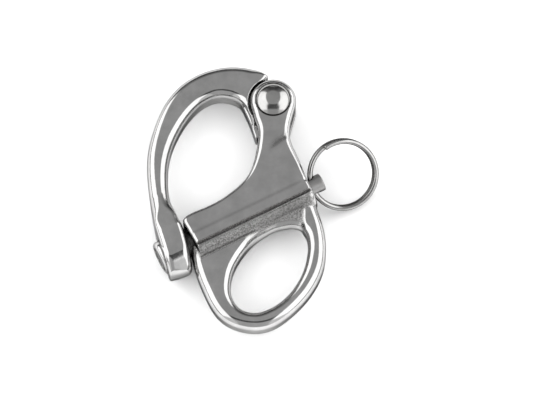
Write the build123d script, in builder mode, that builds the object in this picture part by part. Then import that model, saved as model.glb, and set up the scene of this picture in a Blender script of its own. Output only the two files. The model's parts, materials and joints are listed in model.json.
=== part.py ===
from build123d import *
import os
from math import sin, cos, radians

# Fixed-eye snap shackle, 70 mm, cast stainless steel. Millimetres, +Z is the
# front face, +Y runs along the load axis from the fixed eye to the crown.
# The outlines below are given about a design centre, and OX, OY, OZ move them
# so that the finished model's bounding box is centred on X, Y and stands on Z=0.
OX, OY, OZ = -0.205, 0.13, 6.9

# ---- driving dimensions ----
half_front = 5.4        # half thickness of the barrel, neck and fork
half_web = 3.4          # half thickness of the fixed eye's rim and web
slot_half = 2.5         # half width of the fork's slot
tongue_half = 2.4       # half thickness of the bow's hinge tongue
bow_half = 3.3          # half thickness of the bow's crown and arm
hinge_x, hinge_y = 2.8, 25.2
ear_r = 5.85            # radius of the fork ears
tongue_r = 5.2          # radius of the bow's tongue round the rivet
shoulder_r = 6.35       # the bow's shoulder clears the ears on this radius
rivet_r = 2.2           # rivet shank
rivet_hole_r = 2.25
rivet_head_r = 4.4
rivet_head_h = 1.5

barrel_deg = 27.23      # plunger axis, from +X
barrel_r = 5.4
left_x, left_y = -18.8, -12.48   # plunger axis at the barrel's mouth
face_deg = 14.0         # slope of the barrel's mouth, from the load axis
barrel_len = 34.2       # mouth to the ring end, along the plunger axis
end_wall = 5.0          # wall round the pull rod at the ring end
bore_r = 3.08
rod_hole_r = 2.32
plunger_r = 3.0
rod_r = 2.25
shoulder_t = 17.0       # where the plunger steps down to the rod
tip_t = -6.6            # the plunger's locking tip at rest
rod_end_t = 38.1
cross_t = 35.40         # cross hole for the ring
cross_r = 0.95
cross_deg = 31.0        # turn of the cross hole about the plunger axis
travel = 7.0            # plunger travel

boss_gap = 0.45         # between the barrel's mouth and the bow's locking eye
boss_t = 5.6            # length of the locking eye along the plunger axis
boss_low = 6.2          # locking eye, below the plunger axis
boss_high = 5.0         # and above it
boss_half = 5.2
collar_r = 4.4
collar_h = 1.4

spring_wire = 0.6
spring_mean_r = 2.66
spring_turns = 9

ring_r = 8.15           # mean radius of the split ring
ring_wire = 1.4
ring_pitch = 1.46
ring_back, ring_on = 285.0, 315.5   # degrees of wire each side of the cross hole

ax, ay = cos(radians(barrel_deg)), sin(radians(barrel_deg))


def at(x, y):
    """A point of the design outline in the model's frame."""
    return (x - OX, y - OY)


def on_axis(t, s=0.0):
    """A point t along the plunger axis and s across it, towards the crown."""
    return at(left_x + t * ax - s * ay, left_y + t * ay + s * ax)


def axis_plane(t, roll=0.0):
    """A plane square to the plunger axis, its normal along the pull."""
    x, y = on_axis(t)
    return Plane(origin=(x, y, OZ), x_dir=(-ay, ax, 0), z_dir=(ax, ay, 0)).rotated((0, 0, roll))


MID = Plane.XY.offset(OZ)
mouth = (sin(radians(face_deg)), -cos(radians(face_deg)))

# ---- outlines ----
body_left_top = (-19.9, -6.9)
body_top_corner = (-18.7, -5.75)
body_concave = [
    (-16.7, -4.75), (-14.38, -3.75), (-12.54, -2.85), (-10.76, -1.85), (-9.08, -0.65), (-7.44, 0.62), (-5.87, 2.0),
    (-4.44, 3.55), (-3.3, 5.3), (-2.45, 7.3), (-1.9, 9.3), (-1.45, 11.5), (-1.15, 13.6), (-0.95, 15.6), (-1.0, 17.4),
    (-1.4, 19.0), (-2.0, 20.6),
]
body_neck_right = [
    (7.35, 19.9), (6.75, 17.9), (6.9, 15.7), (7.7, 13.5), (8.75, 11.0), (9.8, 8.2), (10.6, 5.6),
]
eye_outer = [
    (14.97, -6.35), (15.64, -9.24), (16.0, -12.17), (16.0, -15.14), (15.69, -17.86), (14.84, -20.77),
    (13.52, -23.56), (11.87, -26.18), (9.89, -28.59), (7.71, -30.77), (5.28, -32.62), (2.66, -34.16), (-0.26, -34.98),
    (-3.29, -34.96), (-6.23, -34.26), (-8.98, -33.0), (-11.42, -31.18), (-13.08, -28.61), (-14.4, -25.78),
    (-15.6, -22.8), (-16.6, -19.82),
]
eye_hole = [
    (5.81, -7.82), (7.77, -7.63), (9.6, -8.19), (10.91, -9.82), (11.47, -12.41), (11.37, -15.12), (10.35, -19.62),
    (8.18, -23.95), (5.51, -27.17), (2.2, -29.56), (-1.58, -30.8), (-5.3, -29.8), (-7.62, -26.19), (-7.41, -20.71),
    (-5.45, -16.21), (-2.88, -12.87), (0.3, -10.25), (3.1, -8.6),
]
bow_outer = [
    (-27.5, -5.2), (-27.85, -3.0), (-28.36, 1.2), (-28.76, 4.72), (-28.92, 7.75), (-28.9, 10.88), (-28.45, 13.74),
    (-27.75, 16.7), (-26.83, 19.67), (-25.68, 22.61), (-24.28, 25.4), (-22.5, 27.95), (-20.41, 30.19), (-17.97, 32.04),
    (-15.34, 33.5), (-12.52, 34.55), (-9.56, 35.2), (-6.4, 35.3), (-3.4, 34.9), (-0.4, 33.9), (1.9, 32.7),
]
bow_inner = [
    (-21.0, -5.4), (-21.66, -4.3), (-22.9, -1.4), (-23.52, 1.87), (-23.66, 5.23), (-23.52, 8.68), (-22.9, 12.04),
    (-21.88, 15.14), (-20.55, 18.08), (-18.94, 20.83), (-17.03, 23.34), (-14.75, 25.43), (-11.57, 26.86),
    (-8.66, 26.81), (-6.2, 25.9), (-4.5, 24.2), (-3.4, 21.8), (-2.6, 19.3), (-1.7, 16.8), (-1.1, 14.3),
]



def shift(points):
    return [at(x, y) for x, y in points]


right_top = (11.55, 3.3)
right_low = (13.1, -0.8)

# ---- shackle_body ----
with BuildPart() as lower:
    with BuildSketch(Plane.XY.offset(OZ - half_web)):
        with BuildLine():
            lo = Spline(*shift([right_low, (13.95, -3.3)] + eye_outer + [(-17.55, -16.0)]))
            Polyline(lo @ 1, at(*body_left_top), on_axis(2.5, 4.5), on_axis(barrel_len - 1.5, 2.5), lo @ 0)
        make_face()
    extrude(amount=2 * half_web)
    rim = lower.edges().filter_by(GeomType.BSPLINE)
    fillet(rim, radius=1.9)
    with BuildSketch(Plane.XY.offset(OZ - half_web)):
        with BuildLine():
            Spline(*shift(eye_hole), periodic=True)
        make_face()
    extrude(amount=2 * half_web, mode=Mode.SUBTRACT)
    inner = [e for e in lower.edges() if e.is_closed]
    fillet(inner, radius=1.7)

with BuildPart() as shackle_body:
    # the neck and the plate above the barrel
    with BuildSketch(Plane.XY.offset(OZ - half_front)):
        with BuildLine():
            left = Spline(*shift([body_top_corner] + body_concave))
            right = Spline(*shift(body_neck_right + [right_top]))
            Line(left @ 1, right @ 0)
            Polyline(right @ 1, on_axis(barrel_len - 0.2, -0.5), on_axis(1.2, -0.5), at(*body_left_top), left @ 0)
        make_face()
        with BuildLine():
            CenterArc(at(hinge_x, hinge_y), ear_r, 0, 360)
        make_face()
    extrude(amount=2 * half_front)
    # the barrel
    with BuildSketch(axis_plane(0.9)):
        Circle(barrel_r)
    extrude(amount=barrel_len - 0.9)
    # the fixed eye
    add(lower.part)
    # the barrel's mouth is cut on its slope
    mouth_plane = Plane(origin=(*on_axis(0), OZ), x_dir=(0, 0, 1), z_dir=(-cos(radians(face_deg)), -sin(radians(face_deg)), 0))
    with BuildSketch(mouth_plane):
        Rectangle(20, 17)
    extrude(amount=6, mode=Mode.SUBTRACT)
    # plunger bore and rod hole
    with BuildSketch(axis_plane(-4)):
        Circle(bore_r)
    extrude(amount=4 + barrel_len - end_wall, mode=Mode.SUBTRACT)
    with BuildSketch(axis_plane(barrel_len - end_wall - 1)):
        Circle(rod_hole_r)
    extrude(amount=end_wall + 4, mode=Mode.SUBTRACT)
    # the fork's slot, open to the crown and to both sides of the neck
    with BuildSketch(Plane.XY.offset(OZ - slot_half)):
        with Locations(at(hinge_x, hinge_y + 1.2)):
            Rectangle(24, 21.4)
        with Locations(at(hinge_x - 8, hinge_y - 9.5)):
            Rectangle(9, 12)
    extrude(amount=2 * slot_half, mode=Mode.SUBTRACT)
    # rivet hole
    with BuildSketch(Plane.XY.offset(OZ - half_front - 1)):
        with Locations(at(hinge_x, hinge_y)):
            Circle(rivet_hole_r)
    extrude(amount=2 * half_front + 2, mode=Mode.SUBTRACT)
shackle_body.part.label = "shackle_body"

# ---- bow ----
with BuildPart() as arm:
    with BuildSketch(Plane.XY.offset(OZ - bow_half)):
        with BuildLine():
            o = Spline(*shift(bow_outer))
            i = Spline(*shift(bow_inner[:-3]))
            Polyline(o @ 0, at(-26.95, -9.0), at(-26.2, -11.5), at(-21.0, -11.5), at(-20.6, -8.0), i @ 0)
            Line(o @ 1, i @ 1)
        make_face()
    extrude(amount=2 * bow_half)
    fillet(arm.edges().filter_by(GeomType.BSPLINE), radius=2.2)
    # room for the ears to swing past the shoulder
    with BuildSketch(Plane.XY.offset(OZ - 8)):
        with Locations(at(hinge_x, hinge_y)):
            Circle(shoulder_r)
    extrude(amount=16, mode=Mode.SUBTRACT)

with BuildPart() as bow:
    add(arm.part)
    # tongue between the ears, with its heel down the inside of the neck
    with BuildSketch(Plane.XY.offset(OZ - tongue_half)):
        with Locations(at(hinge_x, hinge_y)):
            Circle(tongue_r)
        with BuildLine():
            Spline(*shift([(-4.2, 23.4), (-3.4, 21.4), (-2.6, 19.1), (-1.8, 16.8), (-1.3, 15.4)]))
            Polyline(at(-1.3, 15.4), at(0.4, 16.6), at(3.6, 19.7), at(3.6, 29.5), at(0.4, 32.9), at(-4.2, 30.5), at(-4.2, 23.4))
        make_face()
    extrude(amount=2 * tongue_half)
    with BuildSketch(Plane.XY.offset(OZ - tongue_half - 1)):
        with Locations(at(hinge_x, hinge_y)):
            Circle(rivet_hole_r)
    extrude(amount=2 * tongue_half + 2, mode=Mode.SUBTRACT)
    # locking eye: a thick slice of the barrel's own profile
    with BuildSketch(axis_plane(-boss_gap - boss_t)):
        with Locations(((boss_high - boss_low) / 2, 0)):
            RectangleRounded(boss_high + boss_low, 2 * boss_half, 2.8)
    extrude(amount=boss_t + 3)
    # its inner face lies along the barrel's mouth
    gap_plane = Plane(
        origin=(*on_axis(-boss_gap), OZ), x_dir=(0, 0, 1),
        z_dir=(cos(radians(face_deg)), sin(radians(face_deg)), 0),
    )
    with BuildSketch(gap_plane):
        Rectangle(20, 22)
    extrude(amount=5, mode=Mode.SUBTRACT)
    with BuildSketch(axis_plane(-boss_gap - boss_t - collar_h)):
        Circle(collar_r)
    extrude(amount=collar_h + 0.5)
    with BuildSketch(axis_plane(-14)):
        Circle(bore_r)
    extrude(amount=16, mode=Mode.SUBTRACT)
bow.part.label = "bow"

# ---- hinge_rivet: shank with a low round head each side ----
with BuildPart() as hinge_rivet:
    with BuildSketch(Plane.XY.offset(OZ - half_front - rivet_head_h)):
        with Locations(at(hinge_x, hinge_y)):
            Circle(rivet_head_r)
    extrude(amount=rivet_head_h)
    with BuildSketch(Plane.XY.offset(OZ - half_front)):
        with Locations(at(hinge_x, hinge_y)):
            Circle(rivet_r)
    extrude(amount=2 * half_front)
    with BuildSketch(Plane.XY.offset(OZ + half_front)):
        with Locations(at(hinge_x, hinge_y)):
            Circle(rivet_head_r)
    extrude(amount=rivet_head_h)
    rims = hinge_rivet.faces().filter_by(Plane.XY).group_by(Axis.Z)
    fillet([rims[0][0].edges()[0], rims[-1][0].edges()[0]], radius=1.3)
hinge_rivet.part.label = "hinge_rivet"

# ---- plunger ----
with BuildPart() as plunger:
    with BuildSketch(axis_plane(tip_t)):
        Circle(plunger_r)
    extrude(amount=shoulder_t - tip_t)
    with BuildSketch(axis_plane(shoulder_t)):
        Circle(rod_r)
    extrude(amount=rod_end_t - shoulder_t)
    chamfer(plunger.faces().sort_by(Axis((0, 0, 0), (ax, ay, 0)))[0].edges(), length=0.5)
    chamfer(plunger.faces().sort_by(Axis((0, 0, 0), (ax, ay, 0)))[-1].edges(), length=0.3)
    # cross hole for the ring, turned about the plunger axis
    hx, hy, hz = -ay * cos(radians(cross_deg)), ax * cos(radians(cross_deg)), sin(radians(cross_deg))
    cx, cy = on_axis(cross_t)
    with BuildSketch(Plane(origin=(cx - 5 * hx, cy - 5 * hy, OZ - 5 * hz), z_dir=(hx, hy, hz))):
        Circle(cross_r)
    extrude(amount=10, mode=Mode.SUBTRACT)
plunger.part.label = "plunger"

# ---- plunger_spring: compression coil round the rod ----
spring_from = shoulder_t + spring_wire / 2 + 0.02
spring_to = barrel_len - end_wall - spring_wire / 2 - 0.02
sx, sy = on_axis(spring_from)
with BuildPart() as plunger_spring:
    with BuildLine():
        coil = Helix(
            pitch=(spring_to - spring_from) / spring_turns, height=spring_to - spring_from, radius=spring_mean_r,
            center=(sx, sy, OZ), direction=(ax, ay, 0),
        )
    with BuildSketch(Plane(origin=coil @ 0, z_dir=coil % 0)):
        Circle(spring_wire / 2)
    sweep(is_frenet=True)
plunger_spring.part.label = "plunger_spring"

# ---- split_ring: one wire, wound twice round less the single stretch that
# passes through the plunger's cross hole ----
nx, ny, nz = ay * sin(radians(cross_deg)), -ax * sin(radians(cross_deg)), cos(radians(cross_deg))
rcx, rcy = on_axis(cross_t + ring_r - 0.16)
turns = (ring_back + ring_on) / 360
with BuildPart() as wound:
    with BuildLine():
        loop = Helix(pitch=ring_pitch, height=ring_pitch * turns, radius=ring_r)
    with BuildSketch(Plane(origin=loop @ 0, z_dir=loop % 0)):
        Circle(ring_wire / 2)
    sweep(is_frenet=True)
# the wound wire is turned so that it lies in the cross hole at its middle
ring_plane = Plane(
    origin=(rcx, rcy, OZ), x_dir=(-ax, -ay, 0), z_dir=(nx, ny, nz),
)
ring_in_place = ring_plane.location * Location((0, 0, -ring_pitch * ring_on / 360), (0, 0, -ring_on)) * wound.part
with BuildPart() as split_ring:
    add(ring_in_place)
split_ring.part.label = "split_ring"

os.makedirs("parts", exist_ok=True)
export_step(shackle_body.part, "parts/shackle_body.step")
export_step(bow.part, "parts/bow.step")
export_step(hinge_rivet.part, "parts/hinge_rivet.step")
export_step(plunger.part, "parts/plunger.step")
export_step(plunger_spring.part, "parts/plunger_spring.step")
export_step(split_ring.part, "parts/split_ring.step")

for p in (shackle_body, bow, hinge_rivet, plunger, plunger_spring, split_ring):
    b = p.part.bounding_box()
    print(p.part.label, "solids", len(p.part.solids()), "valid", p.part.is_valid, "volume", round(p.part.volume, 1),
          "box", [round(v, 2) for v in (*b.min, *b.max)])
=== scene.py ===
import bpy
import json
import math
import numpy as np
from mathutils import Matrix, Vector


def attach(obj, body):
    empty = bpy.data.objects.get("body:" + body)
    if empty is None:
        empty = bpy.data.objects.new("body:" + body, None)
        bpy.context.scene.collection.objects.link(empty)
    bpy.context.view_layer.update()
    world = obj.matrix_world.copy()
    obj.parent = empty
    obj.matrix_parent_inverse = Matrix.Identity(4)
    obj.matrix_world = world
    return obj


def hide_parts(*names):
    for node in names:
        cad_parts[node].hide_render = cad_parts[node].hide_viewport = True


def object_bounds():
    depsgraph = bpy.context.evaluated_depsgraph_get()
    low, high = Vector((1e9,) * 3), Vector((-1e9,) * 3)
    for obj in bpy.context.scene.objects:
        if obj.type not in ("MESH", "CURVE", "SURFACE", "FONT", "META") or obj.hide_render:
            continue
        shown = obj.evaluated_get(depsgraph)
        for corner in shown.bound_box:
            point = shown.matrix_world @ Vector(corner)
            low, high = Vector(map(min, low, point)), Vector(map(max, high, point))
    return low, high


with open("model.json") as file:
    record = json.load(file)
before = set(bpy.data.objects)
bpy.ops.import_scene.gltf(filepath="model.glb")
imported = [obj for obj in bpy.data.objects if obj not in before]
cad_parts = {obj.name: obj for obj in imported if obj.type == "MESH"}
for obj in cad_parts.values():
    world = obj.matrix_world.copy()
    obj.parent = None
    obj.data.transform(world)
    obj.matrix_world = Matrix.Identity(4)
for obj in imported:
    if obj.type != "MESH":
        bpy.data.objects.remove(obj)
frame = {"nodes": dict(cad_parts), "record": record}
cad_low, cad_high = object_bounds()
joints = {j["name"]: j for j in frame["record"]["behaviour"]["joints"]}

# ---------------------------------------------------------------------------
# The design frame: millimetres about the casting's middle, as the outlines are
# drawn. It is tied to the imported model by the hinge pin's place.
HINGE = np.array((2.8, 25.2))
hp = joints["bow_hinge"]["pos_m"]
OFF = np.array((HINGE[0] - hp[0] * 1000, HINGE[1] - hp[1] * 1000, -hp[2] * 1000))
AX = np.array(joints["plunger_pull"]["axis"][:2])
AX = AX / np.hypot(*AX)
MOUTH = np.array((-18.8, -12.48))
FACE = math.radians(14.0)


def to_row(p):
    """Design millimetres to metres in the row frame."""
    return (np.asarray(p, float) - OFF) / 1000.0


def ts(x, y):
    """Along the plunger axis from the barrel's mouth, and across it."""
    dx, dy = x - MOUTH[0], y - MOUTH[1]
    return dx * AX[0] + dy * AX[1], -dx * AX[1] + dy * AX[0]


def on_axis(t, s=0.0):
    return np.array((MOUTH[0] + t * AX[0] - s * AX[1], MOUTH[1] + t * AX[1] + s * AX[0]))


# ---------------------------------------------------------------------------
# Curves and fields
def spline(points, closed=False, step=0.08):
    """Points about step apart on a smooth curve through the given ones."""
    P = np.asarray(points, float)
    n = len(P)
    if closed:
        ext = np.vstack([P[-1], P, P[0], P[1]])
    else:
        ext = np.vstack([2 * P[0] - P[1], P, 2 * P[-1] - P[-2]])
    out = []
    spans = n if closed else n - 1
    for i in range(spans):
        a, b, c, d = ext[i], ext[i + 1], ext[i + 2], ext[i + 3]
        ta = max(np.hypot(*(b - a)), 1e-6) ** 0.5
        tb = max(np.hypot(*(c - b)), 1e-6) ** 0.5
        tc = max(np.hypot(*(d - c)), 1e-6) ** 0.5
        k = max(2, int(np.hypot(*(c - b)) / step))
        u = np.linspace(0, 1, k, endpoint=False)[:, None]
        m1 = (c - b) - tb * ((c - a) / (ta + tb) - (b - a) / ta) if ta > 1e-5 else c - b
        m1 = tb * ((b - a) / ta - (c - a) / (ta + tb) + (c - b) / tb)
        m2 = tb * ((c - b) / tb - (d - b) / (tb + tc) + (d - c) / tc)
        h = (2 * u**3 - 3 * u**2 + 1) * b + (u**3 - 2 * u**2 + u) * m1 + (-2 * u**3 + 3 * u**2) * c + (u**3 - u**2) * m2
        out.append(h)
    out = np.vstack(out)
    return out if closed else np.vstack([out, P[-1]])


def line(a, b, step=0.08):
    a, b = np.asarray(a, float), np.asarray(b, float)
    k = max(2, int(np.hypot(*(b - a)) / step))
    return a + (b - a) * np.linspace(0, 1, k, endpoint=False)[:, None]


def soften(loop, mm, step=0.08):
    """A closed loop with its corners eased over about mm."""
    k = max(1, int(round(mm / step)))
    out = loop
    for _ in range(2):
        ext = np.vstack([out[-k:], out, out[:k]])
        c = np.cumsum(np.vstack([[0, 0], ext]), axis=0)
        out = (c[2 * k + 1:] - c[:-2 * k - 1])[: len(loop)] / (2 * k + 1)
    return out


class Outline:
    """Signed distance to a closed loop, negative inside, on a fine grid read with cubic interpolation."""

    def __init__(self, loop, pad=4.0, cell=0.16):
        loop = np.asarray(loop, float)
        lo = loop.min(0) - pad
        nx, ny = (np.ceil((loop.max(0) + pad - lo) / cell)).astype(int) + 4
        self.lo, self.cell = lo, cell
        gx = lo[0] + cell * np.arange(nx)
        gy = lo[1] + cell * np.arange(ny)
        G = np.stack(np.meshgrid(gx, gy, indexing="ij"), -1).reshape(-1, 2)
        A = loop
        B = np.roll(loop, -1, axis=0)
        near = np.empty(len(G), int)
        a2 = (A**2).sum(1)
        for i in range(0, len(G), 4096):
            g = G[i : i + 4096]
            near[i : i + 4096] = np.argmin(a2 - 2 * g @ A.T, axis=1)
        best = np.full(len(G), 1e9)
        for shift in (-1, 0):
            k = (near + shift) % len(A)
            e = B[k] - A[k]
            w = G - A[k]
            u = np.clip((w * e).sum(1) / np.maximum((e * e).sum(1), 1e-12), 0, 1)
            d = np.hypot(*(w - e * u[:, None]).T)
            best = np.minimum(best, d)
        # inside by counting crossings, column by column
        inside = np.zeros((nx, ny), bool)
        for j in range(ny):
            y = gy[j] + 1e-7
            c = (A[:, 1] > y) != (B[:, 1] > y)
            xs = A[c, 0] + (y - A[c, 1]) / (B[c, 1] - A[c, 1]) * (B[c, 0] - A[c, 0])
            inside[:, j] = (np.searchsorted(np.sort(xs), gx) % 2) == 1
        best = best.reshape(nx, ny)
        self.D = np.where(inside, -best, best)
        self.n = (nx, ny)

    def __call__(self, x, y):
        u = np.clip((x - self.lo[0]) / self.cell, 1.0, self.n[0] - 2.001)
        v = np.clip((y - self.lo[1]) / self.cell, 1.0, self.n[1] - 2.001)
        i, j = np.floor(u).astype(int), np.floor(v).astype(int)
        u, v = u - i, v - j
        wu = (-0.5 * u**3 + u**2 - 0.5 * u, 1.5 * u**3 - 2.5 * u**2 + 1, -1.5 * u**3 + 2 * u**2 + 0.5 * u, 0.5 * u**3 - 0.5 * u**2)
        wv = (-0.5 * v**3 + v**2 - 0.5 * v, 1.5 * v**3 - 2.5 * v**2 + 1, -1.5 * v**3 + 2 * v**2 + 0.5 * v, 0.5 * v**3 - 0.5 * v**2)
        out = 0.0
        for a in range(4):
            row = 0.0
            for b in range(4):
                row = row + wv[b] * self.D[i + a - 1, j + b - 1]
            out = out + wu[a] * row
        return out


def smin(a, b, k):
    h = np.clip(0.5 + 0.5 * (b - a) / k, 0, 1)
    return b + (a - b) * h - k * h * (1 - h)


def smax(a, b, k):
    return -smin(-a, -b, k)


def both(a, b, r):
    """Inside both, the edge between them rounded to radius r."""
    qa, qb = a + r, b + r
    return np.minimum(np.maximum(qa, qb), 0) + np.hypot(np.maximum(qa, 0), np.maximum(qb, 0)) - r


def step01(a, b, x):
    u = np.clip((x - a) / (b - a), 0, 1)
    return u * u * (3 - 2 * u)


# ---------------------------------------------------------------------------
# A mesh from a field: surface nets, then every vertex moved onto the surface
def isosurface(F, low, high, cell, relax=3):
    low, high = np.asarray(low, float), np.asarray(high, float)
    n = np.ceil((high - low) / cell).astype(int) + 1
    ax = [low[i] + cell * np.arange(n[i]) for i in range(3)]
    V = np.empty(n, np.float32)
    X, Y = np.meshgrid(ax[0], ax[1], indexing="ij")
    for k in range(n[2]):
        V[:, :, k] = F(X.ravel(), Y.ravel(), np.full(X.size, ax[2][k])).reshape(X.shape)
    S = V < 0
    c = [S[i : n[0] - 1 + i, j : n[1] - 1 + j, k : n[2] - 1 + k] for i in (0, 1) for j in (0, 1) for k in (0, 1)]
    tot = sum(x.astype(np.int8) for x in c)
    mixed = (tot > 0) & (tot < 8)
    ids = -np.ones(mixed.shape, np.int64)
    cells = np.argwhere(mixed)
    ids[mixed] = np.arange(len(cells))
    acc = np.zeros((len(cells), 3))
    cnt = np.zeros(len(cells))
    for axis in range(3):
        o = [a for a in range(3) if a != axis]
        for p in (0, 1):
            for q in (0, 1):
                a = cells.copy()
                a[:, o[0]] += p
                a[:, o[1]] += q
                b = a.copy()
                b[:, axis] += 1
                va, vb = V[tuple(a.T)], V[tuple(b.T)]
                cross = (va < 0) != (vb < 0)
                u = np.where(cross, va / np.where(va == vb, 1, va - vb), 0)
                pt = a.astype(float)
                pt[:, axis] += u
                acc[cross] += pt[cross]
                cnt[cross] += 1
    P = low + cell * acc / cnt[:, None]
    quads = []
    for axis in range(3):
        o = [(axis + 1) % 3, (axis + 2) % 3]
        sl0 = [slice(1, -1)] * 3
        sl0[axis] = slice(0, n[axis] - 1)
        sl1 = list(sl0)
        sl1[axis] = slice(1, n[axis])
        s0, s1 = S[tuple(sl0)], S[tuple(sl1)]
        for flip in (False, True):
            e = np.argwhere(s0 & ~s1 if not flip else ~s0 & s1)
            base = e.copy()
            for oo in o:
                base[:, oo] += 1
            corner = []
            for p, q in ((0, 0), (1, 0), (1, 1), (0, 1)):
                k = base.copy()
                k[:, o[0]] -= 1 - p
                k[:, o[1]] -= 1 - q
                corner.append(ids[tuple(k.T)])
            f = np.stack(corner, 1)
            quads.append(f[:, ::-1] if flip else f)
    Q = np.vstack(quads)
    edges = np.vstack([Q[:, [0, 1]], Q[:, [1, 2]], Q[:, [2, 3]], Q[:, [3, 0]]])
    edges = np.vstack([edges, edges[:, ::-1]])

    def grad(p, h=0.02):
        g = np.empty_like(p)
        for a in range(3):
            d = np.zeros(3)
            d[a] = h
            u, w = p + d, p - d
            g[:, a] = (F(u[:, 0], u[:, 1], u[:, 2]) - F(w[:, 0], w[:, 1], w[:, 2])) / (2 * h)
        return g

    def project(p, times):
        for _ in range(times):
            f = F(p[:, 0], p[:, 1], p[:, 2])
            g = grad(p)
            m = f / np.maximum((g * g).sum(1), 0.05)
            m = np.clip(m, -cell, cell)
            p = p - g * m[:, None]
        return p

    deg = np.bincount(edges[:, 0], minlength=len(P)).astype(float)
    for _ in range(relax):
        mean = np.stack([np.bincount(edges[:, 0], P[edges[:, 1], a], len(P)) for a in range(3)], 1) / deg[:, None]
        g = grad(P)
        g /= np.maximum(np.linalg.norm(g, axis=1), 1e-6)[:, None]
        d = mean - P
        d -= g * (d * g).sum(1)[:, None]
        P = project(P + 0.5 * d, 1)
    return project(P, 2), Q


def piece(name, P, faces, body, node, material, smooth=True):
    """A new object from design-frame points, riding on a body and standing for a node."""
    me = bpy.data.meshes.new(name)
    me.from_pydata(to_row(P).tolist(), [], [list(map(int, f)) for f in faces])
    me.validate()
    me.update()
    if smooth:
        me.polygons.foreach_set("use_smooth", np.ones(len(me.polygons), bool))
    ob = bpy.data.objects.new(name, me)
    bpy.context.scene.collection.objects.link(ob)
    me.materials.append(material)
    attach(ob, body)
    if node:
        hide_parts(node)
    return ob


def paint(ob, name, values):
    """A number at each vertex, which the material reads."""
    a = ob.data.attributes.new(name, "FLOAT", "POINT")
    a.data.foreach_set("value", np.asarray(values, np.float32))


# ---------------------------------------------------------------------------
# Outlines, in design millimetres
H_FRONT = 5.38      # the ground front face
H_RIM = 3.4         # rim and web of the fixed eye
R_BARREL = 5.74

concave = [
    (-18.7, -5.75), (-16.7, -4.75), (-14.38, -3.75), (-12.54, -2.85), (-10.76, -1.85), (-9.08, -0.65), (-7.44, 0.62),
    (-5.87, 2.0), (-4.44, 3.55), (-3.3, 5.3), (-2.45, 7.3), (-1.9, 9.3), (-1.45, 11.5), (-1.15, 13.6), (-0.95, 15.6),
    (-1.0, 17.4), (-1.5, 19.2), (-2.3, 21.3),
]
neck_right = [
    (7.95, 22.0), (7.5, 20.4), (7.1, 18.6), (6.95, 16.8), (7.1, 15.0), (7.75, 12.9), (8.75, 10.6), (9.7, 8.3), (10.5, 6.0), (11.5, 3.5),
]
eye_outer = [
    (13.2, -0.8), (13.95, -3.3), (14.97, -6.35), (15.64, -9.24), (16.0, -12.17), (16.0, -15.14), (15.69, -17.86), (14.84, -20.77),
    (13.52, -23.56), (11.87, -26.18), (9.89, -28.59), (7.71, -30.77), (5.32, -32.78), (2.7, -34.36), (-0.26, -35.2),
    (-3.32, -35.2), (-6.3, -34.5), (-9.03, -33.18), (-11.3, -31.1), (-13.0, -28.5), (-14.35, -25.6),
    (-15.6, -22.6), (-16.65, -19.4), (-17.5, -16.2),
]
eye_hole = [
    (5.81, -7.82), (7.77, -7.63), (9.6, -8.19), (10.91, -9.82), (11.47, -12.41), (11.37, -15.12), (10.35, -19.62),
    (8.18, -23.95), (5.51, -27.17), (2.2, -29.56), (-1.58, -30.8), (-5.3, -29.8), (-7.62, -26.19), (-7.41, -20.71),
    (-5.45, -16.21), (-2.88, -12.87), (0.3, -10.25), (3.1, -8.6),
]
END_T = 34.2

ear = np.array([(HINGE[0] + 5.85 * math.cos(a), HINGE[1] + 5.85 * math.sin(a)) for a in np.linspace(math.radians(213), math.radians(-28), 260)])
upper_loop = np.vstack([
    spline(concave),
    ear,
    spline(neck_right),
    line(neck_right[-1], on_axis(END_T, -6.2)),
    line(on_axis(END_T, -6.2), on_axis(1.7, -6.2)),
    line(on_axis(1.7, -6.2), (-20.05, -7.2)),
    line((-20.05, -7.2), (-18.7, -5.75)),
])
upper = Outline(soften(upper_loop, 0.7))
lower_loop = np.vstack([
    spline(eye_outer),
    line(eye_outer[-1], (-18.6, -11.0)),
    line((-18.6, -11.0), on_axis(2.5, 3.5)),
    line(on_axis(2.5, 3.5), on_axis(END_T - 1.6, 1.5)),
    line(on_axis(END_T - 1.6, 1.5), eye_outer[0]),
])
lower = Outline(soften(lower_loop, 0.5))
hole = Outline(spline(eye_hole, closed=True))


def recess(x, y):
    """How far into the dished web between the barrel and the top of the fixed eye, 0 to 1."""
    right = 10.9 - x + np.minimum(0, y + 8.6) * 0.9     # inside the right rim, as far as the eye's corner
    left = (x + 3.3) * 0.80 - (y + 10.9) * 0.60
    return step01(-0.2, 1.2, right) * step01(-0.6, 2.6, left) * step01(-14.6, -11.8, y)


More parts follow.
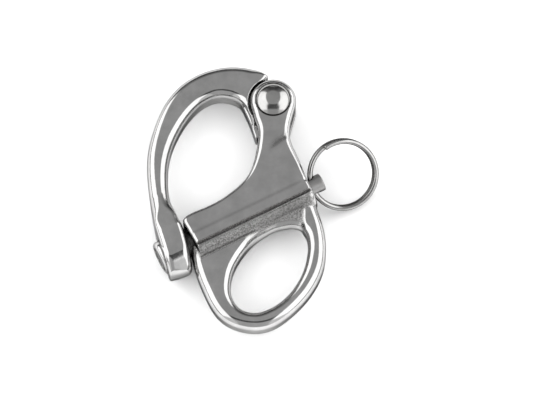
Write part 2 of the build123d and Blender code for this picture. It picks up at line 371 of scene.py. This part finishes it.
def body_field(x, y, z):
    t, s = ts(x, y)
    az = np.abs(z)
    # fixed eye: web and rim, round-edged inside and out
    dish = recess(x, y)
    rh = 2.15 + 0.45 * dish
    h = H_RIM - 0.60 * dish
    rim = np.maximum(both(lower(x, y), az - H_RIM, 2.35), both(-hole(x, y), az - h, np.minimum(rh, h - 0.05)))
    # barrel, neck and fork: a ground flat on each face over a round barrel
    barrel = np.hypot(np.minimum(s, 0), z) - R_BARREL
    # a cast groove under the flat, then a narrow bead
    along = step01(0.5, 1.6, t) * step01(END_T - 0.2, END_T - 1.2, t)
    barrel = barrel + along * (0.30 * np.exp(-((s + 2.27) / 0.38) ** 2) - 0.15 * np.exp(-((s + 2.84) / 0.20) ** 2))
    barrel = barrel + along * 0.16 * np.exp(-((s + 5.0) / 0.35) ** 2) * step01(18, 12, t)
    d2 = upper(x, y)
    edge = 1.15 + 0.55 * step01(3.0, 12.0, y) * step01(-14, -4, x)
    # the neck's face drops a little below the fork
    cr = (y - 13.4) * 0.795 - (x - 3.34) * 0.606
    dip = 0.17 * np.exp(-((cr + 0.1) / 0.55) ** 2) * step01(0.6, 3.0, x) * step01(6.9, 5.6, x)
    groove = 0.10 * np.exp(-((s - 0.75) / 0.38) ** 2)
    face = az - (H_FRONT - groove - dip * step01(6, 9, y))
    block = both(d2, face, edge)
    block = smax(block, barrel, 0.10)
    tilt_end = -(x - MOUTH[0]) * math.cos(FACE) - (y - MOUTH[1]) * math.sin(FACE)
    ends = np.maximum(tilt_end, np.minimum(t - END_T, 0.4 - s))
    block = np.maximum(block, both(barrel, ends, 0.9))
    f = smin(rim, block, 0.45)
    # plunger bore, with a small lead-in at the mouth, and the rod's hole
    r = np.hypot(s, z)
    f = smax(f, np.where(t < 29.2, 3.08, 2.32) - r, 0.2)
    # fork slot
    slot = np.maximum(az - 2.5, 15.7 - y)
    slot2 = np.maximum(az - 2.5, np.maximum(np.maximum(9.7 - y, x + 0.7), y - 22))
    f = np.maximum(f, -slot)
    f = np.maximum(f, -slot2)
    # rivet hole
    rr = np.hypot(x - HINGE[0], y - HINGE[1])
    f = np.maximum(f, 2.26 - rr)
    return np.maximum(f, -np.maximum(rr - 4.45, 5.10 - az))


# the bow
bow_out = [
    (-23.05, -20.8), (-23.95, -17.8), (-24.65, -15.6), (-25.3, -13.4), (-26.0, -11.1), (-26.6, -8.9), (-27.2, -6.4), (-27.75, -3.4), (-28.36, 1.2), (-28.76, 4.72), (-28.92, 7.75), (-28.85, 10.88), (-28.45, 13.74),
    (-27.75, 16.7), (-26.83, 19.67), (-25.68, 22.61), (-24.28, 25.4), (-22.5, 27.95), (-20.41, 30.19), (-17.97, 32.0),
    (-15.34, 33.4), (-12.52, 34.4), (-9.56, 35.0), (-6.4, 35.1), (-3.4, 34.7), (-0.4, 33.6), (1.6, 32.4),
]
bow_in = [
    (-2.1, 18.0), (-2.75, 20.0), (-3.6, 22.2), (-4.6, 24.2), (-6.2, 25.9), (-8.66, 26.85), (-11.57, 26.9),
    (-14.75, 25.43), (-17.03, 23.34), (-18.94, 20.83), (-20.55, 18.08), (-21.88, 15.14), (-22.9, 12.04),
    (-23.52, 8.68), (-23.66, 5.23), (-23.52, 1.87), (-22.95, -1.4), (-21.9, -4.2), (-21.0, -6.3), (-20.15, -7.9), (-19.5, -9.6),
    (-18.86, -11.97), (-17.82, -16.18), (-16.7, -20.6),
]
bow_loop = np.vstack([
    spline(bow_out),
    line(bow_out[-1], (0.2, 30.5)),
    line((0.2, 30.5), (0.2, 26.0)),
    line((0.2, 26.0), bow_in[0]),
    spline(bow_in),
    line(bow_in[-1], bow_out[0]),
])
bow2d = Outline(soften(bow_loop, 0.3))
SHOULDER = 6.3
tongue_loop = np.vstack([
    spline([(-5.2, 25.0), (-4.3, 23.0), (-3.5, 21.2), (-2.75, 19.2), (-2.1, 17.2), (-1.6, 15.6)]),
    line((-1.6, 15.6), (0.3, 16.7)),
    spline([(0.3, 16.7), (2.4, 18.3), (4.2, 19.7), (5.6, 20.6)]),
    np.array([(HINGE[0] + 5.2 * math.cos(a), HINGE[1] + 5.2 * math.sin(a)) for a in np.linspace(math.radians(-56), math.radians(100), 160)]),
    line((1.9, 30.0), (0.4, 32.6)),
    line((0.4, 32.6), (-4.8, 30.5)),
    line((-4.8, 30.5), (-5.2, 25.0)),
])
tongue2d = Outline(tongue_loop)


BOSS = Outline(soften(np.vstack([
    line((16.0, -5.3), (16.0, 5.3)), line((16.0, 5.3), (0.5, 5.3)), spline([(0.5, 5.3), (-1.3, 5.12), (-2.3, 4.72), (-3.4, 4.15), (-4.6, 3.3), (-5.6, 2.5)]),
    line((-5.6, 2.5), (-6.45, 1.6)), line((-6.45, 1.6), (-6.7, 0.4)), line((-6.7, 0.4), (-6.6, -1.8)),
    line((-6.6, -1.8), (-5.8, -4.0)), line((-5.8, -4.0), (-4.4, -5.3)), line((-4.4, -5.3), (16.0, -5.3))]), 0.35), pad=3.0, cell=0.14)


def bow_field(x, y, z):
    t, s = ts(x, y)
    az = np.abs(z)
    crown = step01(8, 27, y)
    left = step01(-12, -19, x)
    low = np.clip((14.5 - s) / 9.5, 0, 1) * left
    h = 3.45 + 0.45 * crown + 1.65 * low
    pinch = np.exp(-((s - 8.6) / 2.3) ** 2) * left
    r = 2.45 - 0.25 * crown - 0.85 * step01(0.3, 1.0, low) - 0.95 * pinch - 1.2 * step01(-3.5, 0.5, x)
    level = np.where(s < 12.0, smax(az - h, BOSS(s, z), 0.3), az - h)
    f = both(bow2d(x, y), level, r)
    away = SHOULDER - np.hypot(x - HINGE[0], y - HINGE[1])
    f = smax(f, away, 0.12)
    collar = both(np.hypot(s, z) - 4.4, np.abs(t + 5.55) - 2.15, 1.0)
    f = smin(f, collar, 0.25)
    f = smax(f, 3.08 - np.hypot(s, z), 0.2)
    tongue = both(tongue2d(x, y), az - 2.38, 0.35)
    f = smin(f, tongue, 0.25)
    f = np.maximum(f, 2.26 - np.hypot(x - HINGE[0], y - HINGE[1]))
    # running clearance all round the casting
    return smax(f, 0.10 - body_field(x, y, z), 0.04)


# ---------------------------------------------------------------------------
# Materials
def nodes_of(name):
    m = bpy.data.materials.new(name)
    m.use_nodes = True
    nt = m.node_tree
    nt.nodes.clear()
    out = nt.nodes.new("ShaderNodeOutputMaterial")
    bsdf = nt.nodes.new("ShaderNodeBsdfPrincipled")
    nt.links.new(bsdf.outputs[0], out.inputs[0])
    return m, nt, bsdf


def math_node(nt, op, a, b=None, clamp=False):
    n = nt.nodes.new("ShaderNodeMath")
    n.operation = op
    n.use_clamp = clamp
    for i, v in enumerate((a, b)):
        if v is None:
            continue
        if isinstance(v, (int, float)):
            n.inputs[i].default_value = v
        else:
            nt.links.new(v, n.inputs[i])
    return n.outputs[0]


def noise(nt, co, scale, detail=3.0, rough=0.5):
    n = nt.nodes.new("ShaderNodeTexNoise")
    n.inputs["Scale"].default_value = scale
    n.inputs["Detail"].default_value = detail
    n.inputs["Roughness"].default_value = rough
    nt.links.new(co, n.inputs["Vector"])
    return n.outputs["Fac"]


def remap(nt, v, a, b, c, d):
    n = nt.nodes.new("ShaderNodeMapRange")
    nt.links.new(v, n.inputs["Value"])
    for i, w in enumerate((a, b, c, d)):
        n.inputs[i + 1].default_value = w
    return n.outputs["Result"]


def mixed(nt, fac, a, b):
    n = nt.nodes.new("ShaderNodeMix")
    n.data_type = "RGBA"
    nt.links.new(fac, n.inputs["Factor"])
    n.inputs["A"].default_value = (*a, 1)
    n.inputs["B"].default_value = (*b, 1)
    return n.outputs["Result"]


def steel(name, light, dark, rough_lo, rough_hi, fine=0.02, cast=False, tint=(0.14, 0.14, 0.14)):
    m, nt, b = nodes_of(name)
    co = nt.nodes.new("ShaderNodeTexCoord").outputs["Object"]
    cloud = noise(nt, co, 180, 4, 0.6)
    grain = noise(nt, co, 2600, 2, 0.5)
    b.inputs["Metallic"].default_value = 1.0
    b.inputs["Specular Tint"].default_value = (*tint, 1)
    colour = mixed(nt, remap(nt, cloud, 0.35, 0.65, 0, 1), dark, light)
    rough = remap(nt, cloud, 0.3, 0.7, rough_lo, rough_hi)
    height = math_node(nt, "MULTIPLY", grain, fine)
    wave = math_node(nt, "MULTIPLY", noise(nt, co, 420, 3, 0.5), 0.10)
    height = math_node(nt, "ADD", height, wave)
    if cast:
        at = nt.nodes.new("ShaderNodeAttribute")
        at.attribute_name = "sand"
        sand = at.outputs["Fac"]
        # The next attribute is painted shade, with some cast residue in the grooves: it darkens the colour towards
        # near-black.
        at = nt.nodes.new("ShaderNodeAttribute")
        at.attribute_name = "grime_and_shade"
        grime_and_shade = at.outputs["Fac"]
        # The next attribute is a painted reflection: it lifts the specular tint so that a face reflects brighter at
        # grazing angles.
        at = nt.nodes.new("ShaderNodeAttribute")
        at.attribute_name = "painted_sheen"
        sheen = nt.nodes.new("ShaderNodeMix")
        sheen.data_type = "RGBA"
        nt.links.new(at.outputs["Fac"], sheen.inputs["Factor"])
        sheen.inputs["A"].default_value = (*tint, 1)
        sheen.inputs["B"].default_value = (0.80, 0.80, 0.80, 1)
        nt.links.new(sheen.outputs["Result"], b.inputs["Specular Tint"])
        coarse = noise(nt, co, 2500, 3, 0.65)
        pits = noise(nt, co, 4600, 2, 0.6)
        lump = math_node(nt, "ADD", math_node(nt, "MULTIPLY", coarse, 1.5), math_node(nt, "MULTIPLY", pits, 0.9))
        height = math_node(nt, "ADD", height, math_node(nt, "MULTIPLY", lump, sand))
        rough = math_node(nt, "ADD", rough, math_node(nt, "MULTIPLY", sand, 0.20), clamp=True)
        grit = nt.nodes.new("ShaderNodeMix")
        grit.data_type = "RGBA"
        nt.links.new(math_node(nt, "MULTIPLY", sand, remap(nt, coarse, 0.40, 0.60, 0.95, 0.25), clamp=True), grit.inputs["Factor"])
        nt.links.new(colour, grit.inputs["A"])
        grit.inputs["B"].default_value = (0.19, 0.187, 0.183, 1)
        colour = grit.outputs["Result"]
        speck = remap(nt, pits, 0.42, 0.58, 0.75, 1.25)
        # Painted shade, speckled: the colour is pulled towards near-black and the surface made rougher.
        darkening = math_node(nt, "MULTIPLY", grime_and_shade, speck, clamp=True)
        darkened = nt.nodes.new("ShaderNodeMix")
        darkened.data_type = "RGBA"
        nt.links.new(darkening, darkened.inputs["Factor"])
        nt.links.new(colour, darkened.inputs["A"])
        darkened.inputs["B"].default_value = (0.07, 0.068, 0.065, 1)
        colour = darkened.outputs["Result"]
        rough = math_node(nt, "ADD", rough, math_node(nt, "MULTIPLY", darkening, 0.30), clamp=True)
    nt.links.new(colour, b.inputs["Base Color"])
    nt.links.new(rough, b.inputs["Roughness"])
    bump = nt.nodes.new("ShaderNodeBump")
    bump.inputs["Strength"].default_value = 1.0
    bump.inputs["Distance"].default_value = 0.0001
    nt.links.new(height, bump.inputs["Height"])
    nt.links.new(bump.outputs[0], b.inputs["Normal"])
    return m


# The dark specular tints (0.14, and 0 for the wire) darken the reflections at grazing angles: painted shade along every
# outline.
cast_steel = steel("cast_steel", (0.62, 0.617, 0.613), (0.52, 0.518, 0.515), 0.08, 0.15, fine=0.05, cast=True)
turned_steel = steel("turned_steel", (0.51, 0.507, 0.50), (0.42, 0.417, 0.412), 0.12, 0.20, fine=0.05, cast=True)
wire_steel = steel("wire_steel", (0.55, 0.547, 0.543), (0.42, 0.417, 0.413), 0.08, 0.15, fine=0.04, cast=True, tint=(0.0, 0.0, 0.0))
bolt_steel = steel("bolt_steel", (0.44, 0.437, 0.433), (0.34, 0.337, 0.334), 0.36, 0.48, fine=0.10, cast=True)
spring_steel = steel("spring_steel", (0.56, 0.55, 0.54), (0.44, 0.43, 0.42), 0.2, 0.3)

# ---------------------------------------------------------------------------
# Pieces
CELL = 0.28

P, Q = isosurface(body_field, (-21.4, -36.2, -6.2), (17.2, 31.9, 6.2), CELL)
cast_body = piece("cast_body", P, Q, "body", "shackle_body", cast_steel)
x, y, z = P[:, 0], P[:, 1], P[:, 2]
t, s = ts(x, y)
inside = step01(0.6, 1.6, t) * step01(END_T - 0.6, END_T - 1.8, t)
dish = recess(x, y)
flank = step01(-3.0, -3.2, s) * step01(-5.9, -5.2, s) * inside
sand = np.maximum(flank, dish * step01(0.6, 1.5, hole(x, y)) * step01(-2.3, -2.9, s))
sand = sand * step01(2.2, 2.6, np.abs(z))
paint(cast_body, "sand", sand)
front = step01(4.2, 4.6, np.abs(z))
# Painted shade, darkening the colour along the cast groove and the faint crease on each front flat, with cast residue
# in the groove.
groove = (step01(-1.78, -1.92, s) * step01(-2.74, -2.60, s) + 0.75 * np.exp(-((s + 3.08) / 0.10) ** 2)) * step01(0.2, 0.9, t) * step01(END_T - 0.1, END_T - 0.8, t) * front
groove = np.maximum(groove * 0.97, 0.26 * np.exp(-((s - 0.75) / 0.40) ** 2) * front * step01(0.5, 2.5, t) * step01(END_T - 1.0, END_T - 3.0, t))
# Painted shade along the foot of the flank, in the valley above the eye's web.
foot = np.exp(-((s + 5.15) / 0.40) ** 2) * inside * step01(19, 15, t) * step01(2.9, 3.1, np.abs(z)) * 0.75
rr = np.hypot(x - HINGE[0], y - HINGE[1])
# Painted shade in the gap round the rivet head, in the barrel's mouth and bore, on the fork slot's walls and across the
# bend of the neck.
seat = step01(4.62, 4.46, rr) * step01(3.2, 3.9, np.abs(z))
mouth = step01(0.05, -0.05, t) * step01(3.9, 3.3, np.hypot(s, z)) * 0.8
bore = step01(3.2, 3.1, np.hypot(s, z)) * 0.8
fork = step01(2.56, 2.50, np.abs(z)) * step01(9.0, 10.0, y) * 0.6
crease = (y - 13.4) * 0.795 - (x - 3.34) * 0.606
bend = 0.62 * np.exp(-((crease + 0.1) / 0.8) ** 2) * step01(1.2, 3.6, x) * step01(5.0, 5.2, np.abs(z))
# The rough flank is also made a little darker, more so away from the mouth.
grime_and_shade = np.clip(np.max([flank * 0.24 * step01(4, 30, t), groove, foot, seat, mouth, bore, fork, bend], axis=0), 0, 1)
paint(cast_body, "grime_and_shade", grime_and_shade)

P, Q = isosurface(bow_field, (-30.2, -22.2, -6.2), (9.2, 36.4, 6.2), CELL)
cast_bow = piece("cast_bow", P, Q, "bow", "bow", cast_steel)
x, y, z = P[:, 0], P[:, 1], P[:, 2]
t, s = ts(x, y)
rr = np.hypot(x - HINGE[0], y - HINGE[1])
paint(cast_bow, "sand", np.zeros(len(P)))
rim_c = both(np.hypot(s, z) - 4.4, np.abs(t + 5.55) - 2.15, 1.0)
# Painted shade: a dark line on the collar along the bow's edge.
seam = np.exp(-((bow2d(x, y) - 0.10) / 0.22) ** 2) * step01(0.5, 0.1, np.abs(rim_c)) * step01(-4.5, -5.0, t) * 0.9
# Painted reflection: the collar's end face reflects brighter.
paint(cast_bow, "painted_sheen", 0.42 * step01(-5.9, -6.6, t) * step01(4.7, 4.45, np.hypot(s, z)))
# Painted shade on the shoulder round the hinge, in the bore, and on the face across the gap from the barrel's end.
shoulder = step01(6.45, 6.2, rr) * 0.8
bore = step01(3.2, 3.1, np.hypot(s, z)) * 0.8
gapface = step01(-0.55, -0.35, (x - MOUTH[0]) * math.cos(FACE) + (y - MOUTH[1]) * math.sin(FACE)) * step01(6, 4, y) * 0.6
paint(cast_bow, "grime_and_shade", np.clip(np.max([shoulder, bore, gapface, seam], axis=0), 0, 1))


def lathe(profile, steps=96):
    """Turned round Z: profile is (radius, height) from one end on the axis to the other."""
    pts, faces = [], []
    prof = np.asarray(profile, float)
    rings = []
    for r, h in prof:
        if r < 1e-6:
            rings.append([len(pts)])
            pts.append((0, 0, h))
        else:
            rings.append(list(range(len(pts), len(pts) + steps)))
            for k in range(steps):
                a = 2 * math.pi * k / steps
                pts.append((r * math.cos(a), r * math.sin(a), h))
    for lo, hi in zip(rings, rings[1:]):
        for k in range(steps):
            j = (k + 1) % steps
            if len(lo) == 1:
                faces.append((lo[0], hi[j], hi[k]))
            elif len(hi) == 1:
                faces.append((lo[k], lo[j], hi[0]))
            else:
                faces.append((lo[k], lo[j], hi[j], hi[k]))
    return np.array(pts), faces


def round_profile(points, radii, n=7):
    """A profile with its corners rounded."""
    P = [np.asarray(p, float) for p in points]
    out = [P[0]]
    for i in range(1, len(P) - 1):
        r = radii[i]
        a, b, c = P[i - 1], P[i], P[i + 1]
        u, v = (a - b) / np.hypot(*(a - b)), (c - b) / np.hypot(*(c - b))
        half = math.acos(max(-1, min(1, float(u @ v)))) / 2
        if r <= 0 or half > 1.56:
            out.append(b)
            continue
        d = r / math.tan(half)
        m = (u + v) / np.hypot(*(u + v))
        centre = b + m * (r / math.sin(half))
        p0, p1 = b + u * d, b + v * d
        a0 = math.atan2(*(p0 - centre)[::-1])
        a1 = math.atan2(*(p1 - centre)[::-1])
        da = (a1 - a0 + math.pi) % (2 * math.pi) - math.pi
        for k in range(n + 1):
            ang = a0 + da * k / n
            out.append(centre + r * np.array((math.cos(ang), math.sin(ang))))
    out.append(P[-1])
    return out


# hinge rivet: a shank set into a low head each side, flat in the middle
flat_top = [(0.0, 6.80), (0.9, 6.795), (1.6, 6.765)]
skirt = spline([(1.6, 6.765), (1.95, 6.68), (2.5, 6.46), (3.1, 6.19), (3.62, 5.88), (4.02, 5.54), (4.22, 5.32)], step=0.12)
head = flat_top + [tuple(p) for p in skirt[1:]] + [(4.25, 5.24), (4.20, 5.10), (2.24, 5.06)]
prof = head + [(r, -z) for r, z in reversed(head)]
P, Q = lathe([(max(r, 0), z) for r, z in prof][::-1], 128)
P = P + np.array((HINGE[0], HINGE[1], 0))
rivet = piece("rivet", P, Q, "body", "hinge_rivet", turned_steel)

# split ring: one wire wound nearly twice round
rj = joints["ring_swing"]
h_ax = np.array(rj["axis"]) / np.linalg.norm(rj["axis"])
a3 = np.array((AX[0], AX[1], 0.0))
n_ax = np.cross(a3, h_ax)
n_ax = n_ax * (1 if n_ax[2] > 0 else -1)
RING_R = 8.5
swing = math.radians(4.5)
out = a3 * math.cos(swing) - np.cross(n_ax, a3) * math.sin(swing)
ring_c = np.array(rj["pos_m"]) * 1000 + OFF + out * (RING_R - 0.16)
e1 = -out
e2 = np.cross(n_ax, e1)


def wire(points, radius, sides=20, cap=0.12):
    """A round wire along points, its ends slightly rounded."""
    P = np.asarray(points, float)
    T = np.gradient(P, axis=0)
    T /= np.linalg.norm(T, axis=1)[:, None]
    ref = n_ax
    pts, faces, rings = [], [], []
    N = len(P)
    place = [(0, -cap, radius - cap)] + [(i, 0, radius) for i in range(N)] + [(N - 1, cap, radius - cap)]
    for i, d, r in place:
        b = np.cross(T[i], ref)
        b /= np.linalg.norm(b)
        c = np.cross(b, T[i])
        row = []
        for k in range(sides):
            a = 2 * math.pi * k / sides
            row.append(len(pts))
            pts.append(P[i] + T[i] * d + r * (math.cos(a) * b + math.sin(a) * c))
        rings.append(row)
    for lo, hi in zip(rings, rings[1:]):
        for k in range(sides):
            j = (k + 1) % sides
            faces.append((lo[k], hi[k], hi[j], lo[j]))
    faces.append(tuple(rings[0]))
    faces.append(tuple(reversed(rings[-1])))
    return np.array(pts), faces


ang = np.radians(np.linspace(-315.5, 285.0, 420))
lift = 1.44 * ang / (2 * math.pi)
ring_pts = ring_c + RING_R * (np.cos(ang)[:, None] * e1 + np.sin(ang)[:, None] * e2) + lift[:, None] * n_ax
P, Q = wire(ring_pts, 0.69)
ring = piece("ring", P, Q, "ring", "split_ring", wire_steel)
# Painted shade: dark bands along the wire's inner and outer edges, which draw the ring's dark outlines.
d = P - ring_c
d = d - (d @ n_ax)[:, None] * n_ax
out = np.linalg.norm(d, axis=1)
paint(ring, "grime_and_shade", 0.85 * np.maximum(step01(RING_R + 0.34, RING_R + 0.60, out), step01(RING_R - 0.30, RING_R - 0.56, out)))

# plunger: a round bolt stepped down to a pull rod, with the cross hole for the ring
h3 = h_ax
hole_c = np.array((*on_axis(35.40), 0.0))


def plunger_field(x, y, z):
    t, s = ts(x, y)
    r = np.hypot(s, z)
    bolt = both(np.maximum(t - 17.0, -7.5 - t), r - 3.0, 0.45)
    bolt = np.maximum(bolt, np.sqrt((t - 3.2) ** 2 + r ** 2) - 10.95)
    rod = both(np.maximum(t - 38.1, 10.0 - t), r - 2.25, 0.22)
    f = smin(bolt, rod, 0.15)
    d = np.stack((x, y, z), -1) - hole_c
    along = d @ h3
    q = np.sqrt(np.maximum((d * d).sum(-1) - along ** 2, 0))
    return smax(f, 1.12 - q, 0.12)


P, Q = isosurface(plunger_field, (-27.6, -19.4, -3.6), (17.4, 7.8, 3.6), 0.20)
bolt = piece("bolt", P, Q, "plunger", "plunger", bolt_steel)
t, s = ts(P[:, 0], P[:, 1])
r = np.hypot(s, P[:, 2])
paint(bolt, "sand", np.zeros(len(P)))
# Painted shade on the bolt along its length inside the body and the bow, and round the cross hole's edge.
d = P - hole_c
q = np.sqrt(np.maximum((d * d).sum(-1) - (d @ h3) ** 2, 0))
inner = step01(-6.6, -5.9, t) * step01(34.6, 34.2, t) * step01(2.0, 2.1, r) * 0.85
paint(bolt, "grime_and_shade", np.clip(np.max([inner, step01(1.22, 1.15, q) * 0.7], axis=0), 0, 1))
paint(rivet, "sand", np.zeros(len(rivet.data.vertices)))
# Painted shade: a dark band round the edge of each head, where it meets the ear.
rv = np.array([v.co[:] for v in rivet.data.vertices]) * 1000 + OFF
rim_r = np.hypot(rv[:, 0] - HINGE[0], rv[:, 1] - HINGE[1])
paint(rivet, "grime_and_shade", step01(4.14, 4.22, rim_r) * 0.8)

frame["nodes"]["plunger_spring"].material_slots[0].material = spring_steel

# ---------------------------------------------------------------------------
# Stage, light, camera
scene = bpy.context.scene
FILL = 2.2
floor_z = cad_low[2] - 0.0002
me = bpy.data.meshes.new("floor")
me.from_pydata([(-3, -3, floor_z), (3, -3, floor_z), (3, 3, floor_z), (-3, 3, floor_z)], [], [(0, 1, 2, 3)])
floor = bpy.data.objects.new("floor", me)
scene.collection.objects.link(floor)
m, nt, b = nodes_of("floor_paper")
b.inputs["Base Color"].default_value = (0.92, 0.92, 0.92, 1)
b.inputs["Roughness"].default_value = 0.9
b.inputs["Specular IOR Level"].default_value = 0.0
me.materials.append(m)

world = bpy.data.worlds.new("studio")
scene.world = world
world.use_nodes = True
nt = world.node_tree
nt.nodes.clear()
wout = nt.nodes.new("ShaderNodeOutputWorld")
bg = nt.nodes.new("ShaderNodeBackground")
nt.links.new(bg.outputs[0], wout.inputs[0])
co = nt.nodes.new("ShaderNodeTexCoord").outputs["Generated"]
sep = nt.nodes.new("ShaderNodeSeparateXYZ")
nt.links.new(co, sep.inputs[0])
X, Y, Z = sep.outputs
absx = math_node(nt, "ABSOLUTE", X)


def ramp(v, a, b, c, d):
    n = nt.nodes.new("ShaderNodeMapRange")
    n.interpolation_type = "SMOOTHSTEP"
    nt.links.new(v, n.inputs["Value"])
    for i, w in enumerate((a, b, c, d)):
        n.inputs[i + 1].default_value = w
    return n.outputs["Result"]


def mul(a, b):
    return math_node(nt, "MULTIPLY", a, b)


def add(a, b):
    return math_node(nt, "ADD", a, b)


# grey overhead, darker towards the crown's side with a thin pale strip beyond
over = ramp(Y, 0.60, 0.80, 0.43, 0.20)
over = mul(over, ramp(Y, 0.84, 0.90, 1.0, 0.30))
over = add(over, ramp(Y, 0.955, 0.975, 0.0, 0.55))
# a dark gap, then a pale card low in front
front = ramp(Y, -0.20, -0.27, 0, 1)
dark = mul(front, ramp(absx, 0.46, 0.40, 0, 1))
strength = mul(over, math_node(nt, "SUBTRACT", 1.0, mul(dark, 0.80)))
card = ramp(Y, -0.47, -0.56, 0, 1)
strength = add(strength, mul(card, 0.42))
# two tall soft boxes, left and right
side = mul(ramp(absx, 0.41, 0.49, 0, 1), mul(ramp(Y, 0.78, 0.70, 0, 1), ramp(Y, -0.60, -0.50, 0, 1)))
strength = add(strength, mul(side, 1.45))
low_strip = mul(ramp(Z, 0.20, 0.13, 0, 1), ramp(Y, -0.62, -0.50, 0, 1))
strength = mul(strength, math_node(nt, "SUBTRACT", 1.0, mul(low_strip, 0.90)))
nt.links.new(strength, bg.inputs["Strength"])
bg.inputs["Color"].default_value = (1, 1, 1, 1)

fill = bpy.data.lights.new("overhead", "SUN")
fill.energy = FILL
fill.angle = math.radians(100)
lamp = bpy.data.objects.new("overhead", fill)
scene.collection.objects.link(lamp)
lamp.visible_glossy = False
lamp.rotation_euler = (math.radians(8), 0, 0)

TILT = math.radians(21.0)
PX_PER_MM = 3.98
target = to_row((2.26, 0.0, 0.0))
DIST = 1.6
view = np.array((0.0, -math.sin(TILT), math.cos(TILT)))
cam_data = bpy.data.cameras.new("camera")
cam = bpy.data.objects.new("camera", cam_data)
scene.collection.objects.link(cam)
cam.location = target + view * DIST
cam.rotation_euler = (TILT, 0.0, 0.0)
cam_data.sensor_width = 36.0
cam_data.lens = 36.0 * DIST * 1000 / (542 / PX_PER_MM)
cam_data.clip_start = 0.05
cam_data.clip_end = 20
scene.camera = cam
scene.view_settings.view_transform = "Standard"
